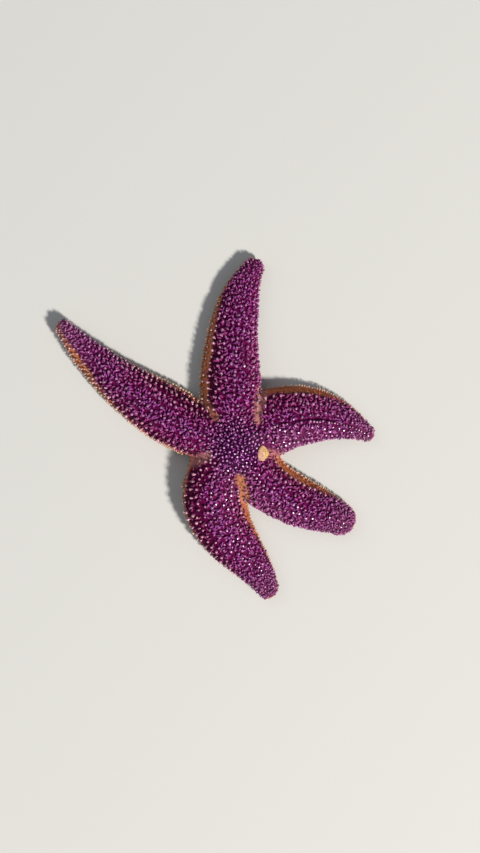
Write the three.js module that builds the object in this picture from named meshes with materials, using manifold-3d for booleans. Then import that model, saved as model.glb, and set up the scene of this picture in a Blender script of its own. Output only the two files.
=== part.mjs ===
// Common starfish (Asterias rubens), life size, still, lying with its five arms spread and bent.
// Millimetres, +Z up. The floor is z = 0 and the origin lies on it, under the middle of the
// animal's bounding box. The body is modelled as lofted arms and a disc dome, then parted into
// the disc and three lengths of each arm. The furrow under each arm holds its tube feet.
import * as THREE from "three";
import { mergeVertices } from "three/addons/utils/BufferGeometryUtils.js";
import Module from "manifold-3d";

const wasm = await Module();
wasm.setup();

// ---------------------------------------------------------------- driving dimensions

const GAP = 0.3; // clearance between neighbouring solids
const DISC_CENTRE = new THREE.Vector2(8.13, -7.36); // middle of the disc, from the origin
const SOLE = 1.0; // underside of the flesh above the floor; the tube feet reach down to it
const SPINE_RISE = 0.3; // how far the blunt spines stand out of the modelled flesh
const DOME_POWER = 2.15; // roundness of an arm's back: 2 is an ellipse, more is boxier

// Arms, named by Carpenter's letters from the one opposite the madreporite, anticlockwise.
// heading: direction of the midline at the disc's centre, degrees anticlockwise from +X.
// bend, curl, hook: how far it has turned at the tip, in degrees, in proportion to the way, to
// its square and to its cube.
// length: along the midline, from the disc's centre to the middle of the round tip.
// halfWidth, height, lean: evenly spaced from the disc's centre to the tip; lean is how far the
// ridge lies to the left of the midline, as a part of the half-width.
const ARMS = [
  {
    name: "a", heading: 159.1, bend: -27.0, curl: 8.6, hook: -12.1, length: 84.0,
    tipLift: 2.0,
    halfWidth: [10.7, 11.6, 11.8, 9.7, 7.1, 4.0],
    height: [14.6, 14.0, 12.9, 10.9, 8.4, 5.6],
    lean: [0.0, 0.1, 0.14, 0.0, -0.18, -0.2],
  },
  {
    name: "b", heading: -143.9, bend: 186.1, curl: -6.4, hook: -101.7, length: 64.9,
    tipLift: 0.6,
    halfWidth: [11.1, 12.4, 13.1, 11.2, 8.6, 5.3],
    height: [14.6, 14.2, 13.2, 11.6, 9.4, 6.8],
    lean: [0.0, -0.05, -0.16, -0.2, -0.16, -0.1],
  },
  {
    name: "c", heading: -59.8, bend: 51.4, curl: 46.1, hook: -63.8, length: 51.5,
    tipLift: 0.6,
    halfWidth: [11.2, 12.2, 10.9, 10.2, 9.2, 7.2],
    height: [14.6, 14.1, 12.9, 11.6, 10.1, 8.4],
    lean: [0.0, -0.08, -0.18, -0.24, -0.22, -0.12],
  },
  {
    name: "d", heading: 49.8, bend: -91.5, curl: -0.3, hook: 9.3, length: 57.2,
    tipLift: 1.0,
    halfWidth: [11.9, 14.3, 13.0, 11.3, 8.2, 4.2],
    height: [14.6, 14.2, 13.1, 11.3, 8.7, 5.4],
    lean: [0.0, -0.14, -0.28, -0.3, -0.26, -0.16],
  },
  {
    name: "e", heading: 101.7, bend: -53.5, curl: 88.2, hook: -80.0, length: 72.8,
    tipLift: 1.0,
    halfWidth: [11.1, 12.2, 12.0, 10.2, 8.5, 5.0],
    height: [14.6, 14.1, 13.1, 11.2, 8.8, 6.0],
    lean: [0.0, -0.1, -0.22, -0.26, -0.24, -0.14],
  },
];

const TIP_LIFT_FROM = 0.75; // part of an arm's length where its upturned end begins
const ARM_START = 6.0; // where the inner lengths are lofted from, inside the disc that parts them
const BASE_REACH = 30.0; // the arms' bases are joined to the disc's dome to here, past its edge
const MIDDLE_CUT = 0.62; // where an arm is parted into its inner and outer lengths
const TIP_CUT = 4.5; // length of the tip piece, back from the middle of the round tip
const RING_STEP = 6.0; // distance between the cross-sections of an arm
const TIP_RING_ANGLES = [34, 62]; // cross-sections on the round tip, degrees

// The disc: a low dome over the arms' bases, inside a pentagon with its corners in the clefts.
const DOME = { radius: 16.5, height: 14.8, power: 1.7, rings: 4, sides: 20 };
const CLEFTS = [ // corners of the pentagon: distance from the disc's centre, bearing in degrees
  { reach: 24.7, bearing: 126.5 },
  { reach: 20.0, bearing: 194.5 },
  { reach: 25.0, bearing: -76.5 },
  { reach: 19.9, bearing: -12.5 },
  { reach: 26.4, bearing: 67.0 },
];

const FURROW = { baseHalfWidth: 2.9, tipHalfWidth: 1.3, roofTaper: 0.7, roof: 0.38, start: 3.0 };
// Tube feet: radius, neck and distance from the midline as parts of the furrow's half-width.
const FOOT = { radius: 0.36, neck: 0.27, aside: 0.58, sides: 4, firstStep: 2, lastAt: 0.95 };
const MOUTH = { radius: 6.5, floor: 3.0, roof: 5.6, sides: 15 };
const ORAL_SPINE = { from: 5.7, to: 2.4, fromZ: 3.4, toZ: 1.5, base: 0.7, tip: 0.4 };
const MADREPORITE = {
  fromCentre: 11.6, bearing: -13.4, z: 10.2, tilt: 37, length: 6.2, width: 5.4, thickness: 1.6,
};
const EYESPOT = { radius: 0.75, z: 1.9, sunk: 0.45 };

const MARGIN_SPINE = { base: 0.65, tip: 0.4, length: 1.5, sides: 3, rise: 8 };
const RIDGE_SPINE = { base: 0.65, tip: 0.4, length: 1.4, sides: 3 };

// ---------------------------------------------------------------- helpers

const degrees = THREE.MathUtils.degToRad;

// A table of evenly spaced values, read at u from 0 to 1 along a Catmull-Rom curve.
function along(table, u) {
  const last = table.length - 1;
  const t = THREE.MathUtils.clamp(u, 0, 1) * last;
  const i = Math.min(Math.floor(t), last - 1);
  const f = t - i;
  const before = i > 0 ? table[i - 1] : 2 * table[0] - table[1];
  const after = i < last - 1 ? table[i + 2] : 2 * table[last] - table[last - 1];
  const slope = table[i + 1] - before;
  const sag = 2 * before - 5 * table[i] + 4 * table[i + 1] - after;
  const twist = 3 * (table[i] - table[i + 1]) + after - before;
  return 0.5 * (2 * table[i] + slope * f + sag * f * f + twist * f * f * f);
}

function polar(reach, bearing) {
  const angle = degrees(bearing);
  return new THREE.Vector2(Math.cos(angle), Math.sin(angle)).multiplyScalar(reach).add(DISC_CENTRE);
}

function toSolid(geometry) {
  const bare = geometry.clone();
  bare.deleteAttribute("normal");
  bare.deleteAttribute("uv");
  const merged = mergeVertices(bare, 1e-4);
  return new wasm.Manifold(new wasm.Mesh({
    numProp: 3,
    vertProperties: Float32Array.from(merged.attributes.position.array),
    triVerts: Uint32Array.from(merged.index.array),
  }));
}

function toGeometry(solid) {
  const mesh = solid.getMesh();
  const geometry = new THREE.BufferGeometry();
  geometry.setAttribute("position", new THREE.BufferAttribute(mesh.vertProperties, 3));
  geometry.setIndex(new THREE.BufferAttribute(mesh.triVerts, 1));
  geometry.computeVertexNormals();
  return geometry;
}

const joined = (solids) => solids.reduce((whole, piece) => whole.add(piece));
const cutBy = (solid, cutters) => cutters.reduce((rest, cutter) => rest.subtract(cutter), solid);

// A closed solid through rings of equally many points. The rings go anticlockwise as seen from
// the last one, and end in flat faces, or in a point where an apex is given.
function loft(rings, apex = null) {
  const sides = rings[0].length;
  const points = rings.flat();
  const faces = [];
  for (let r = 0; r < rings.length - 1; r += 1) {
    for (let i = 0; i < sides; i += 1) {
      const a = r * sides + i;
      const b = r * sides + ((i + 1) % sides);
      faces.push(a, b, b + sides, a, b + sides, a + sides);
    }
  }
  const end = (rings.length - 1) * sides;
  for (let i = 1; i < sides - 1; i += 1) {
    faces.push(0, i + 1, i);
    if (!apex) faces.push(end, end + i, end + i + 1);
  }
  if (apex) {
    points.push(apex);
    for (let i = 0; i < sides; i += 1) {
      faces.push(end + i, end + ((i + 1) % sides), points.length - 1);
    }
  }
  const geometry = new THREE.BufferGeometry().setFromPoints(points);
  geometry.setIndex(faces);
  return toSolid(geometry);
}

// A tapered stub from one point to another, used for spines and tube feet.
function stub(from, to, fromRadius, toRadius, sides) {
  const axis = to.clone().sub(from);
  const geometry = new THREE.CylinderGeometry(toRadius, fromRadius, axis.length(), sides);
  const turn = new THREE.Quaternion();
  turn.setFromUnitVectors(new THREE.Vector3(0, 1, 0), axis.clone().normalize());
  geometry.applyQuaternion(turn);
  const middle = from.clone().lerp(to, 0.5);
  geometry.translate(middle.x, middle.y, middle.z);
  return toSolid(geometry);
}

// ---------------------------------------------------------------- an arm's form

// The midline's point and heading at a distance s from the disc's centre.
function midline(arm, s) {
  const steps = 60;
  const inside = Math.min(s, arm.length);
  const step = inside / steps;
  const headingAt = (u) => degrees(
    arm.heading + arm.bend * u + arm.curl * u ** 2 + arm.hook * u ** 3,
  );
  const point = DISC_CENTRE.clone();
  for (let i = 0; i < steps; i += 1) {
    const angle = headingAt(((i + 0.5) * step) / arm.length);
    point.x += Math.cos(angle) * step;
    point.y += Math.sin(angle) * step;
  }
  const angle = headingAt(inside / arm.length);
  point.x += Math.cos(angle) * (s - inside);
  point.y += Math.sin(angle) * (s - inside);
  return { point, angle };
}

// Sizes of the cross-section at s. Past the arm's length they shrink as a quarter circle.
function sizesAt(arm, s) {
  const u = Math.min(s / arm.length, 1);
  const tipRadius = along(arm.halfWidth, 1) - SPINE_RISE;
  const past = Math.max(s - arm.length, 0) / tipRadius;
  const shrink = Math.sqrt(Math.max(1 - past * past, 0));
  const lift = arm.tipLift * THREE.MathUtils.smoothstep(u, TIP_LIFT_FROM, 1);
  const fullHeight = along(arm.height, u) - SPINE_RISE;
  const marginHeight = 1.8 + 0.12 * fullHeight;
  const margin = marginHeight + lift;
  return {
    u,
    lift,
    margin,
    halfWidth: (along(arm.halfWidth, u) - SPINE_RISE) * shrink,
    ridge: margin + (fullHeight - marginHeight) * shrink,
    sole: margin - (marginHeight - SOLE) * shrink,
    lean: along(arm.lean, u),
    fullHeight,
  };
}

// A point of the arm: s along it, q to the left of the midline, at height z.
function place(arm, s, q, z) {
  const { point, angle } = midline(arm, s);
  return new THREE.Vector3(point.x - Math.sin(angle) * q, point.y + Math.cos(angle) * q, z);
}

// A point on the arm's back at s, swept from 0 degrees at the left margin to 180 at the right.
function backPoint(arm, s, sweep) {
  const { halfWidth, ridge, margin, lean } = sizesAt(arm, s);
  const cos = Math.cos(degrees(sweep));
  const rise = Math.abs(Math.sin(degrees(sweep))) ** (2 / DOME_POWER);
  const across = Math.sign(cos) * Math.abs(cos) ** (2 / DOME_POWER);
  return place(arm, s, halfWidth * (across + lean * rise), margin + (ridge - margin) * rise);
}

const BACK_SWEEPS = [0, 24, 54, 90, 126, 156, 180];

function armRing(arm, s) {
  const { halfWidth, margin, sole } = sizesAt(arm, s);
  const edge = halfWidth * 0.8;
  const bulge = halfWidth * 0.97;
  const middle = (sole + margin) / 2;
  return [
    place(arm, s, edge, sole),
    place(arm, s, -edge, sole),
    place(arm, s, -bulge, middle),
    ...BACK_SWEEPS.toReversed().map((sweep) => backPoint(arm, s, sweep)),
    place(arm, s, bulge, middle),
  ].toReversed();
}

// Both ends and the steps between them that every loft of an arm shares, so that a solid and
// the cut it lies in have the same facets.
function ringPlaces(from, to) {
  const steps = Array.from({ length: Math.ceil(to / RING_STEP) }, (_, i) => i * RING_STEP);
  const between = steps.filter((s) => s > from + RING_STEP * 0.2 && s < to - RING_STEP * 0.2);
  return [from, ...between, to];
}

const armLength = (arm, from, to) => loft(ringPlaces(from, to).map((s) => armRing(arm, s)));

function armTip(arm, from) {
  const tipRadius = along(arm.halfWidth, 1) - SPINE_RISE;
  const round = TIP_RING_ANGLES.map((angle) => arm.length + tipRadius * Math.sin(degrees(angle)));
  const rings = [from, arm.length, ...round].map((s) => armRing(arm, s));
  const end = arm.length + tipRadius;
  return loft(rings, place(arm, end, 0, sizesAt(arm, end).margin));
}

const grooveStart = MOUTH.radius + 3 * GAP;
const grooveEnd = (arm) => arm.length + along(arm.halfWidth, 1) * 0.25 - GAP;

// The furrow under an arm, through the given cross-sections. inset draws it in on every side.
function furrow(arm, inset, places, floor) {
  const rings = places.map((s) => {
    const { u, lift, fullHeight } = sizesAt(arm, s);
    const halfWidth = THREE.MathUtils.lerp(FURROW.baseHalfWidth, FURROW.tipHalfWidth, u) - inset;
    const roof = SOLE + lift + FURROW.roof * (fullHeight - SOLE) - inset;
    const bottom = floor + (inset > 0 ? lift : 0);
    return [
      place(arm, s, halfWidth, bottom),
      place(arm, s, halfWidth * FURROW.roofTaper, roof),
      place(arm, s, -halfWidth * FURROW.roofTaper, roof),
      place(arm, s, -halfWidth, bottom),
    ];
  });
  return loft(rings);
}

// Places for a row of spines or feet, each midway between two cross-sections.
function rowPlaces(from, to) {
  const all = Array.from({ length: Math.ceil(to / RING_STEP) }, (_, i) => (i + 0.5) * RING_STEP);
  return all.filter((s) => s > from + 1 && s < to - 1);
}

// Blunt spines along both margins, pointing out and a little up.
function marginSpines(arm, from, to) {
  return rowPlaces(from, to).flatMap((s) => [1, -1].map((side) => {
    const { halfWidth, margin } = sizesAt(arm, s);
    const reach = MARGIN_SPINE.length * Math.cos(degrees(MARGIN_SPINE.rise));
    const climb = MARGIN_SPINE.length * Math.sin(degrees(MARGIN_SPINE.rise));
    const root = halfWidth + SPINE_RISE + 0.2 - reach;
    return stub(
      place(arm, s, side * root, margin - climb),
      place(arm, s, side * (root + reach), margin),
      MARGIN_SPINE.base, MARGIN_SPINE.tip, MARGIN_SPINE.sides,
    );
  }));
}

// The row of blunt spines along the ridge.
function ridgeSpines(arm, from, to) {
  return rowPlaces(from, to).map((s) => {
    const crest = backPoint(arm, s, 90);
    const top = crest.clone().setZ(crest.z + SPINE_RISE);
    const root = top.clone().setZ(top.z - RIDGE_SPINE.length);
    return stub(root, top, RIDGE_SPINE.base, RIDGE_SPINE.tip, RIDGE_SPINE.sides);
  });
}

// ---------------------------------------------------------------- the disc

function discDome() {
  const profile = [new THREE.Vector2(0, SOLE), new THREE.Vector2(DOME.radius * 0.85, SOLE)];
  const margin = 3.4;
  for (let i = 0; i < DOME.rings; i += 1) {
    const angle = degrees((90 * i) / DOME.rings);
    const r = DOME.radius * Math.cos(angle) ** (2 / DOME.power);
    const rise = Math.sin(angle) ** (2 / DOME.power);
    profile.push(new THREE.Vector2(r, margin + (DOME.height - SPINE_RISE - margin) * rise));
  }
  profile.push(new THREE.Vector2(0, DOME.height - SPINE_RISE));
  const geometry = new THREE.LatheGeometry(profile, DOME.sides);
  geometry.rotateX(Math.PI / 2);
  geometry.translate(DISC_CENTRE.x, DISC_CENTRE.y, 0);
  return toSolid(geometry);
}

// The upright pentagonal prism that parts the disc from the arms, moved out by a margin.
function cleftPrism(margin) {
  const corners = CLEFTS.map(({ reach, bearing }) => polar(reach, bearing));
  const outline = corners.map((corner, i) => {
    const before = corners.at(i - 1);
    const after = corners[(i + 1) % corners.length];
    const sideIn = corner.clone().sub(before).normalize();
    const sideOut = after.clone().sub(corner).normalize();
    const outwards = new THREE.Vector2(sideIn.y + sideOut.y, -sideIn.x - sideOut.x).normalize();
    const spread = new THREE.Vector2(sideIn.y, -sideIn.x).dot(outwards);
    return corner.clone().addScaledVector(outwards, margin / spread);
  });
  const height = 20;
  const options = { depth: height, bevelEnabled: false };
  const geometry = new THREE.ExtrudeGeometry(new THREE.Shape(outline), options);
  geometry.translate(0, 0, -1);
  return toSolid(geometry);
}

function mouthPocket() {
  const height = MOUTH.roof + GAP + 1;
  const radius = MOUTH.radius + GAP;
  const geometry = new THREE.CylinderGeometry(radius, radius, height, MOUTH.sides);
  geometry.rotateX(Math.PI / 2);
  geometry.translate(DISC_CENTRE.x, DISC_CENTRE.y, height / 2 - 1);
  return toSolid(geometry);
}

// The round membrane of the mouth with the oral spines that close over it.
function mouth() {
  const geometry = new THREE.LatheGeometry([
    new THREE.Vector2(0, MOUTH.floor + 1.2),
    new THREE.Vector2(MOUTH.radius * 0.45, MOUTH.floor + 0.7),
    new THREE.Vector2(MOUTH.radius * 0.8, MOUTH.floor),
    new THREE.Vector2(MOUTH.radius, MOUTH.floor + 0.4),
    new THREE.Vector2(MOUTH.radius, MOUTH.roof),
    new THREE.Vector2(0, MOUTH.roof),
  ], MOUTH.sides);
  geometry.rotateX(Math.PI / 2);
  geometry.translate(DISC_CENTRE.x, DISC_CENTRE.y, 0);
  const spines = CLEFTS.flatMap(({ bearing }) => [-9, 9].map((aside) => {
    const from = polar(ORAL_SPINE.from, bearing + aside);
    const to = polar(ORAL_SPINE.to, bearing + aside);
    return stub(
      new THREE.Vector3(from.x, from.y, ORAL_SPINE.fromZ),
      new THREE.Vector3(to.x, to.y, ORAL_SPINE.toZ),
      ORAL_SPINE.base, ORAL_SPINE.tip, MARGIN_SPINE.sides,
    );
  }));
  return joined([toSolid(geometry), ...spines]);
}

// The sieve plate's lens, lying on the disc's slope. inset draws it in on every side.
function madreporite(inset, depth) {
  const halfLength = MADREPORITE.length / 2 - inset;
  const halfWidth = MADREPORITE.width / 2 - inset;
  const geometry = new THREE.LatheGeometry([
    new THREE.Vector2(0, -depth),
    new THREE.Vector2(1, -depth),
    new THREE.Vector2(1, MADREPORITE.thickness * 0.3),
    new THREE.Vector2(0.72, MADREPORITE.thickness * 0.48),
    new THREE.Vector2(0, MADREPORITE.thickness * 0.58),
  ], 16);
  geometry.rotateX(Math.PI / 2);
  geometry.scale(halfWidth, halfLength, 1);
  geometry.rotateY(degrees(MADREPORITE.tilt));
  geometry.rotateZ(degrees(MADREPORITE.bearing));
  const at = polar(MADREPORITE.fromCentre, MADREPORITE.bearing);
  geometry.translate(at.x, at.y, MADREPORITE.z);
  return toSolid(geometry);
}

// ---------------------------------------------------------------- tube feet and eyespots

const eyespotAt = (arm) => arm.length + along(arm.halfWidth, 1) - SPINE_RISE - EYESPOT.sunk;

// The furrow's filling of tube feet: a strip with two rows of feet that stand flat on the floor.
function groove(arm) {
  const bottom = SOLE + 0.4;
  const strip = furrow(arm, GAP, ringPlaces(grooveStart, grooveEnd(arm)), bottom);
  const standing = rowPlaces(FOOT.firstStep * RING_STEP, arm.length * FOOT.lastAt);
  const pairs = standing.flatMap((s) => {
    const { u, lift } = sizesAt(arm, s);
    const halfWidth = THREE.MathUtils.lerp(FURROW.baseHalfWidth, FURROW.tipHalfWidth, u) - GAP;
    const aside = halfWidth * FOOT.aside;
    return [1, -1].map((side) => stub(
      place(arm, s, side * aside, 0),
      place(arm, s, side * aside, bottom + lift + 0.5),
      halfWidth * FOOT.radius, halfWidth * FOOT.neck, FOOT.sides,
    ));
  });
  return joined([strip, ...pairs]);
}

function eyespot(arm, grow) {
  const geometry = new THREE.SphereGeometry(EYESPOT.radius + grow, 7, 4);
  geometry.rotateX(Math.PI / 2);
  const at = place(arm, eyespotAt(arm), 0, EYESPOT.z + arm.tipLift);
  geometry.translate(at.x, at.y, at.z);
  return toSolid(geometry);
}

// ---------------------------------------------------------------- the whole animal

const FINISH = {
  skin: { color: 0x7a2560, roughness: 0.45 },
  plate: { color: 0xe6b878, roughness: 0.5 },
  feet: { color: 0xe8d3b0, roughness: 0.4 },
  mouth: { color: 0xd9a58c, roughness: 0.45 },
  eye: { color: 0xb3201c, roughness: 0.3 },
};

const starfish = new THREE.Group();
starfish.name = "starfish";

function addPart(name, solid, finish) {
  const material = new THREE.MeshStandardMaterial({ ...FINISH[finish], metalness: 0 });
  const mesh = new THREE.Mesh(toGeometry(solid), material);
  mesh.name = name;
  starfish.add(mesh);
}

const furrowCuts = ARMS.map((arm) => {
  const grooved = ringPlaces(grooveStart, grooveEnd(arm));
  return furrow(arm, 0, [FURROW.start, ...grooved, grooveEnd(arm) + GAP], -1);
});
const bases = ARMS.map((arm) => armLength(arm, 0, BASE_REACH));
const discBody = joined([discDome(), ...bases]).intersect(cleftPrism(-GAP / 2));
const discCuts = [mouthPocket(), madreporite(-GAP, MADREPORITE.thickness + GAP), ...furrowCuts];

addPart("disc", cutBy(discBody, discCuts), "skin");
addPart("madreporite", madreporite(0, MADREPORITE.thickness), "plate");
addPart("mouth", mouth(), "mouth");

const outsidePentagon = cleftPrism(GAP / 2);
ARMS.forEach((arm, i) => {
  const middle = arm.length * MIDDLE_CUT;
  const end = arm.length - TIP_CUT;
  const spined = (body, from, to) => joined([
    body, ...marginSpines(arm, from, to), ...ridgeSpines(arm, from, to),
  ]);
  const inner = spined(armLength(arm, ARM_START, middle - GAP / 2), ARM_START, middle);
  const outer = spined(armLength(arm, middle + GAP / 2, end - GAP / 2), middle, end);
  const tip = armTip(arm, end + GAP / 2);
  const furrowCut = furrowCuts[i];
  addPart(`arm_${arm.name}_inner`, cutBy(inner, [outsidePentagon, furrowCut]), "skin");
  addPart(`arm_${arm.name}_outer`, cutBy(outer, [furrowCut]), "skin");
  addPart(`arm_${arm.name}_tip`, cutBy(tip, [furrowCut, eyespot(arm, GAP)]), "skin");
  addPart(`arm_${arm.name}_groove`, groove(arm), "feet");
  addPart(`arm_${arm.name}_eyespot`, eyespot(arm, 0), "eye");
});

export default starfish;
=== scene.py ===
# Looks of the common starfish: one skin over the whole body, and a coat of blunt spines,
# papulae and tube feet on it. Lengths are in millimetres until a mesh is made; MM turns them
# into metres. The arms' form repeats the driving dimensions of the CAD solids.
import math

import bpy
import mathutils
import numpy as np
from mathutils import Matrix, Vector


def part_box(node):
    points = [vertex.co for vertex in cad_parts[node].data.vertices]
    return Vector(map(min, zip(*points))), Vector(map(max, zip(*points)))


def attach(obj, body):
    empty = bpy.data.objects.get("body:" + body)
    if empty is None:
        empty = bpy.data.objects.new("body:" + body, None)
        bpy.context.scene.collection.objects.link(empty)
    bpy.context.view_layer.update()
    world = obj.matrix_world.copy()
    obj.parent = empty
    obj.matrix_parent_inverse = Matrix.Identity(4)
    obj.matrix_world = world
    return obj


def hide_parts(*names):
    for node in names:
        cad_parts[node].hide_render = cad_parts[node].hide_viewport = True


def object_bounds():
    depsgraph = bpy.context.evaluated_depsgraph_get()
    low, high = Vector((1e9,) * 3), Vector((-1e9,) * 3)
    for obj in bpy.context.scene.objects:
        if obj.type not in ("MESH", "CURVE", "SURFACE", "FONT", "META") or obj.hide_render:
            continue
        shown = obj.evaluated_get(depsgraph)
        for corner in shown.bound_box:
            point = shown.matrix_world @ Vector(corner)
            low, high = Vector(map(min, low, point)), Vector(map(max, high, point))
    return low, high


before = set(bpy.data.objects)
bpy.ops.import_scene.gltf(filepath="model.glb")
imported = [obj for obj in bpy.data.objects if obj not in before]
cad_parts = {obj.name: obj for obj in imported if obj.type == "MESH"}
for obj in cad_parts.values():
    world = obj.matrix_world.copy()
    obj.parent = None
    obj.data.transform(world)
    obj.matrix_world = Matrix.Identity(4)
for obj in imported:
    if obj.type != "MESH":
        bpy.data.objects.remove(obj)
cad_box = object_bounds()

MM = 0.001
rng = np.random.default_rng(11)

# ---- the animal's form

DISC_CENTRE = np.array([8.13, -7.36])
SOLE = 1.9  # the skin's underside; the coat and the tube feet reach below it
COAT = 1.0  # how far the skin lies inside the CAD solids, whose surface is at the spines' tips
BACK_POWER = 2.15  # roundness of an arm's back
BELLY_POWER = 3.2  # roundness below the margin
TIP_LIFT_FROM = 0.75
MARGIN_LOW = 2.2  # the margin, the widest place of a cross-section, is this high, and higher by
MARGIN_RISE = 0.12  # this part of the arm's height

# Evenly spaced from the disc's centre to the arm's tip, as in the CAD solids.
ARMS = [
    dict(
        name="a", heading=159.1, bend=-27.0, curl=8.6, hook=-12.1, length=84.0, tip_lift=2.0,
        half_width=[10.7, 11.6, 11.8, 9.7, 7.1, 4.0],
        height=[14.6, 14.0, 12.9, 10.9, 8.4, 5.6],
        lean=[0.0, 0.1, 0.14, 0.0, -0.18, -0.2],
    ),
    dict(
        name="b", heading=-143.9, bend=186.1, curl=-6.4, hook=-101.7, length=64.9, tip_lift=0.6,
        half_width=[11.1, 12.4, 13.1, 11.2, 8.6, 5.3],
        height=[14.6, 14.2, 13.2, 11.6, 9.4, 6.8],
        lean=[0.0, -0.05, -0.16, -0.2, -0.16, -0.1],
    ),
    dict(
        name="c", heading=-59.8, bend=51.4, curl=46.1, hook=-63.8, length=51.5, tip_lift=0.6,
        half_width=[11.2, 12.2, 10.9, 10.2, 9.2, 7.2],
        height=[14.6, 14.1, 12.9, 11.6, 10.1, 8.4],
        lean=[0.0, -0.08, -0.18, -0.24, -0.22, -0.12],
    ),
    dict(
        name="d", heading=49.8, bend=-91.5, curl=-0.3, hook=9.3, length=57.2, tip_lift=1.0,
        half_width=[11.9, 14.3, 13.0, 11.3, 8.2, 4.2],
        height=[14.6, 14.2, 13.1, 11.3, 8.7, 5.4],
        lean=[0.0, -0.14, -0.28, -0.3, -0.26, -0.16],
    ),
    dict(
        name="e", heading=101.7, bend=-53.5, curl=88.2, hook=-80.0, length=72.8, tip_lift=1.0,
        half_width=[11.1, 12.2, 12.0, 10.2, 8.5, 5.0],
        height=[14.6, 14.1, 13.1, 11.2, 8.8, 6.0],
        lean=[0.0, -0.1, -0.22, -0.26, -0.24, -0.14],
    ),
]
DOME = dict(radius=16.0, foot=3.2, height=13.4, power=1.7, depth=9.0)
FURROW = dict(base=3.0, tip=1.3, roof=0.36, vault=1.2, end=0.35)
MOUTH = dict(radius=6.4, roof=4.6, depth=3.0)


def along(table, u):
    """A table of evenly spaced values, read at u from 0 to 1 along a Catmull-Rom curve."""
    table = np.asarray(table, float)
    last = len(table) - 1
    t = np.clip(u, 0, 1) * last
    i = np.minimum(t.astype(int), last - 1)
    f = t - i
    padded = np.r_[2 * table[0] - table[1], table, 2 * table[-1] - table[-2]]
    a, b, c, d = padded[i], padded[i + 1], padded[i + 2], padded[i + 3]
    cubic = 3 * (b - c) + d - a
    return 0.5 * (2 * b + (c - a) * f + (2 * a - 5 * b + 4 * c - d) * f**2 + cubic * f**3)


def smoothstep(low, high, x):
    t = np.clip((x - low) / (high - low), 0, 1)
    return t * t * (3 - 2 * t)


def heading_at(arm, u):
    """The direction in which an arm runs at u, in radians."""
    return np.radians(arm["heading"] + arm["bend"] * u + arm["curl"] * u**2 + arm["hook"] * u**3)


MIDLINE_POINTS = 120
MIDLINE_STEPS = 8  # between two points


def midline(arm):
    """Evenly spaced points of an arm's midline."""
    u = np.linspace(0, 1, 1 + MIDLINE_STEPS * (MIDLINE_POINTS - 1))
    turn = heading_at(arm, (u[1:] + u[:-1]) / 2)
    step = arm["length"] / (len(u) - 1)
    x = DISC_CENTRE[0] + np.r_[0, np.cumsum(np.cos(turn))] * step
    y = DISC_CENTRE[1] + np.r_[0, np.cumsum(np.sin(turn))] * step
    return np.c_[x, y][::MIDLINE_STEPS]


for arm in ARMS:
    arm["points"] = midline(arm)


CHUNK = 20000  # how many points are worked on at once, to spare memory


def arm_place(arm, xy):
    """For points seen from above: how far along the arm, how far to the left of its midline,
    how far past its tip (or before its start, negative), and the arm's heading there."""
    middle = arm["points"]
    last = len(middle) - 1
    nearest = np.empty(len(xy), int)
    for start in range(0, len(xy), CHUNK):
        part = slice(start, start + CHUNK)
        nearest[part] = np.argmin(((xy[part, None] - middle) ** 2).sum(2), axis=1)
    u = nearest / last
    turn = heading_at(arm, u)
    offset = xy - middle[nearest]
    ahead = offset[:, 0] * np.cos(turn) + offset[:, 1] * np.sin(turn)
    left = offset[:, 1] * np.cos(turn) - offset[:, 0] * np.sin(turn)
    bending = arm["bend"] + 2 * arm["curl"] * u + 3 * arm["hook"] * u**2
    curvature = np.radians(bending) / arm["length"]
    half_step = 0.6 * arm["length"] / last
    more = np.clip(ahead / np.maximum(1 - curvature * left, 0.3), -half_step, half_step)
    s = np.clip(u * arm["length"] + more, 0, arm["length"])
    outside = ((nearest == last) & (ahead > 0)) | ((nearest == 0) & (ahead < 0))
    return s, left, np.where(outside, ahead, 0.0), turn


def arm_sizes(arm, s):
    """Sizes of the skin's cross-section at s."""
    u = s / arm["length"]
    lift = arm["tip_lift"] * smoothstep(TIP_LIFT_FROM, 1, u)
    height = along(arm["height"], u) - COAT
    return dict(
        u=u,
        half_width=along(arm["half_width"], u) - COAT,
        ridge=height + lift,
        margin=MARGIN_LOW + MARGIN_RISE * height + lift,
        sole=SOLE + lift,
        lean=along(arm["lean"], u),
        lift=lift,
    )


def furrow_half(u):
    """Half the furrow's width at u along an arm."""
    return FURROW["base"] + (FURROW["tip"] - FURROW["base"]) * u


def furrow_roof(size):
    """The height of the furrow's roof, for the sizes that arm_sizes gives."""
    return SOLE + size["lift"] + FURROW["roof"] * (size["ridge"] - size["lift"] - SOLE)


LEAST_SLOPE = 0.04  # keeps the depth from running away in the middle of an arm


def depth_in_arm(arm, s, left, ahead, z):
    """About how deep points lie inside an arm: positive inside, in millimetres."""
    size = arm_sizes(arm, s)
    wide = size["half_width"]
    above = z > size["margin"]
    tall = np.where(above, size["ridge"] - size["margin"], size["margin"] - size["sole"])
    power = np.where(above, BACK_POWER, BELLY_POWER)
    up = np.abs(z - size["margin"]) / tall
    shift = np.where(above, size["lean"] * np.minimum(up, 1), 0)
    across = np.hypot(left / wide - shift, ahead / wide)
    reach = np.maximum((across**power + up**power) ** (1 / power), 1e-3)
    slope = np.hypot(across ** (power - 1) / wide, up ** (power - 1) / tall)
    return (1 - reach) / np.maximum(slope / reach ** (power - 1), LEAST_SLOPE)


def smooth_max(a, b, blend):
    h = np.maximum(blend - np.abs(a - b), 0) / blend
    return np.maximum(a, b) + h * h * blend / 4


def smooth_min(a, b, blend):
    return -smooth_max(-a, -b, blend)


# ---- the body as a field

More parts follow.
